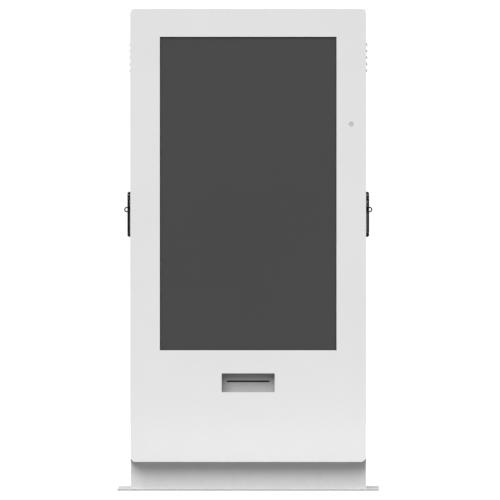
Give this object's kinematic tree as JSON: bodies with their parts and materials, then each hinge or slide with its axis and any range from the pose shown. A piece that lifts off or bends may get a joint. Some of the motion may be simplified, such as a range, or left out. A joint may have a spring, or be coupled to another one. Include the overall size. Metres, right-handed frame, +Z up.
{
  "type": "touchscreen_kiosk",
  "caption": "Free-standing museum kiosk: white steel cabinet on a plinth and base plate, tall touchscreen, ticket printer slot and side doors with black padlockable handles.",
  "frame": {"origin": "on the floor, under the middle of the base plate", "axes": "+Z up, +X to the right of someone facing the screen, front faces -Y"},
  "size_m": [1.01, 0.46, 1.856],
  "materials": {
    "alu": "extruded, satin",
    "black_coat": "black powder coat",
    "black_plastic": "fine grain",
    "black_rubber": "matte rubber",
    "board_green": "solder mask",
    "bright_steel": "ground and polished",
    "clear_glass": "clear toughened glass",
    "gear_white": "moulded acetal",
    "grey_plastic": "fine grain",
    "paper": "thermal paper, wound",
    "plate_coat": "satin powder coat, bare cut edge",
    "screen_black": "switched-off display behind clear glass",
    "sensor_grey": "frosted window",
    "white_powder_coat": "fine textured satin powder coat",
    "zinc_steel": "zinc plated"
  },
  "bodies": {
    "cabinet": {"base_plate": "plate_coat", "plinth": "white_powder_coat", "plinth_bolts": "zinc_steel", "floor_pan": "white_powder_coat", "cabinet_shell": "white_powder_coat", "front_panel": "white_powder_coat", "rear_panel": "white_powder_coat", "rear_panel_screws": "zinc_steel", "glass_gasket": "black_rubber", "touch_glass": "clear_glass", "lcd_panel": "screen_black", "display_rails": "zinc_steel", "equipment_plate": "zinc_steel", "media_pc": "alu", "power_supply": "alu", "driver_board": "board_green", "din_rail": "zinc_steel", "circuit_breaker": "grey_plastic", "sensor_window": "sensor_grey", "sensor_housing": "black_plastic", "cable_gland": "black_plastic", "printer_bezel": "white_powder_coat", "printer_chassis": "zinc_steel", "print_head": "black_plastic", "printer_motor": "black_plastic", "roll_axle": "black_plastic", "lid_hinge": "zinc_steel", "door_frames": "white_powder_coat", "door_seals": "black_rubber", "hinge_brackets": "zinc_steel", "fan_frames": "black_plastic"},
    "right_door": {"right_door_skin": "white_powder_coat", "right_hinge_leaves": "zinc_steel", "right_handle_plate": "black_coat", "right_handle_screws": "zinc_steel", "right_rod_guides": "black_plastic"},
    "right_spindle": {"right_spindle": "black_coat", "right_lever_pin": "bright_steel"},
    "right_lever": {"right_lever": "black_coat"},
    "right_upper_rod": {"right_upper_rod": "zinc_steel"},
    "right_lower_rod": {"right_lower_rod": "zinc_steel"},
    "right_fan_rotor": {"right_fan_rotor": "black_plastic"},
    "left_door": {"left_door_skin": "white_powder_coat", "left_hinge_leaves": "zinc_steel", "left_handle_plate": "black_coat", "left_handle_screws": "zinc_steel", "left_rod_guides": "black_plastic"},
    "left_spindle": {"left_spindle": "black_coat", "left_lever_pin": "bright_steel"},
    "left_lever": {"left_lever": "black_coat"},
    "left_upper_rod": {"left_upper_rod": "zinc_steel"},
    "left_lower_rod": {"left_lower_rod": "zinc_steel"},
    "left_fan_rotor": {"left_fan_rotor": "black_plastic"},
    "platen": {"platen_roller": "black_rubber", "platen_gear": "gear_white"},
    "motor_pinion": {"motor_pinion": "gear_white"},
    "paper_roll": {"paper_roll": "paper"},
    "printer_lid": {"printer_lid": "grey_plastic"},
    "pc_power_button": {"pc_power_button": "alu"},
    "breaker_toggle": {"breaker_toggle": "black_plastic"}
  },
  "joints": [
    {"name": "right_door_hinge", "type": "hinge", "parent": "cabinet", "child": "right_door", "pos_m": [0.447, 0.107, 0.865], "axis": [0, 0, 1], "range_deg": [0, 105]},
    {"name": "right_spindle_turn", "type": "hinge", "parent": "right_door", "child": "right_spindle", "pos_m": [0.45, -0.075, 1.125], "axis": [1, 0, 0], "range_deg": [0, 90]},
    {"name": "right_lever_lift", "type": "hinge", "parent": "right_spindle", "child": "right_lever", "pos_m": [0.4635, -0.075, 1.125], "axis": [0, -1, 0], "range_deg": [0, 30]},
    {"name": "right_upper_rod_slide", "type": "slide", "parent": "right_door", "child": "right_upper_rod", "axis": [0, 0, -1], "range_m": [0, 0.01885]},
    {"name": "right_lower_rod_slide", "type": "slide", "parent": "right_door", "child": "right_lower_rod", "axis": [0, 0, 1], "range_m": [0, 0.01885]},
    {"name": "right_fan_spin", "type": "hinge", "parent": "cabinet", "child": "right_fan_rotor", "pos_m": [0.44, 0.012, 1.669], "axis": [1, 0, 0], "continuous": true},
    {"name": "left_door_hinge", "type": "hinge", "parent": "cabinet", "child": "left_door", "pos_m": [-0.447, 0.107, 0.865], "axis": [0, 0, -1], "range_deg": [0, 105]},
    {"name": "left_spindle_turn", "type": "hinge", "parent": "left_door", "child": "left_spindle", "pos_m": [-0.45, -0.075, 1.125], "axis": [1, 0, 0], "range_deg": [0, 90]},
    {"name": "left_lever_lift", "type": "hinge", "parent": "left_spindle", "child": "left_lever", "pos_m": [-0.4635, -0.075, 1.125], "axis": [0, 1, 0], "range_deg": [0, 30]},
    {"name": "left_upper_rod_slide", "type": "slide", "parent": "left_door", "child": "left_upper_rod", "axis": [0, 0, -1], "range_m": [0, 0.01885]},
    {"name": "left_lower_rod_slide", "type": "slide", "parent": "left_door", "child": "left_lower_rod", "axis": [0, 0, 1], "range_m": [0, 0.01885]},
    {"name": "left_fan_spin", "type": "hinge", "parent": "cabinet", "child": "left_fan_rotor", "pos_m": [-0.44, 0.012, 1.669], "axis": [1, 0, 0], "continuous": true},
    {"name": "platen_spin", "type": "hinge", "parent": "cabinet", "child": "platen", "pos_m": [0, -0.082, 0.408], "axis": [1, 0, 0], "continuous": true},
    {"name": "pinion_spin", "type": "hinge", "parent": "cabinet", "child": "motor_pinion", "pos_m": [0.1, -0.0604, 0.408], "axis": [1, 0, 0], "continuous": true},
    {"name": "paper_roll_spin", "type": "hinge", "parent": "cabinet", "child": "paper_roll", "pos_m": [0, 0.008, 0.372], "axis": [1, 0, 0], "continuous": true},
    {"name": "printer_lid_hinge", "type": "hinge", "parent": "cabinet", "child": "printer_lid", "pos_m": [0, 0.067, 0.451], "axis": [-1, 0, 0], "range_deg": [0, 80]},
    {"name": "power_button_press", "type": "slide", "parent": "cabinet", "child": "pc_power_button", "axis": [-1, 0, 0], "range_m": [0, 0.0015], "stiffness_N_per_m": 600, "springref_m": -0.0008},
    {"name": "breaker_toggle_flip", "type": "hinge", "parent": "cabinet", "child": "breaker_toggle", "pos_m": [-0.132, -0.0355, 1.04], "axis": [1, 0, 0], "range_deg": [0, 60]}
  ],
  "couplings": [
    {"joint": "right_upper_rod_slide", "follows": "right_spindle_turn", "m_per_rad": 0.012},
    {"joint": "right_lower_rod_slide", "follows": "right_spindle_turn", "m_per_rad": 0.012},
    {"joint": "left_upper_rod_slide", "follows": "left_spindle_turn", "m_per_rad": 0.012},
    {"joint": "left_lower_rod_slide", "follows": "left_spindle_turn", "m_per_rad": 0.012},
    {"joint": "pinion_spin", "follows": "platen_spin", "ratio": -2}
  ]
}
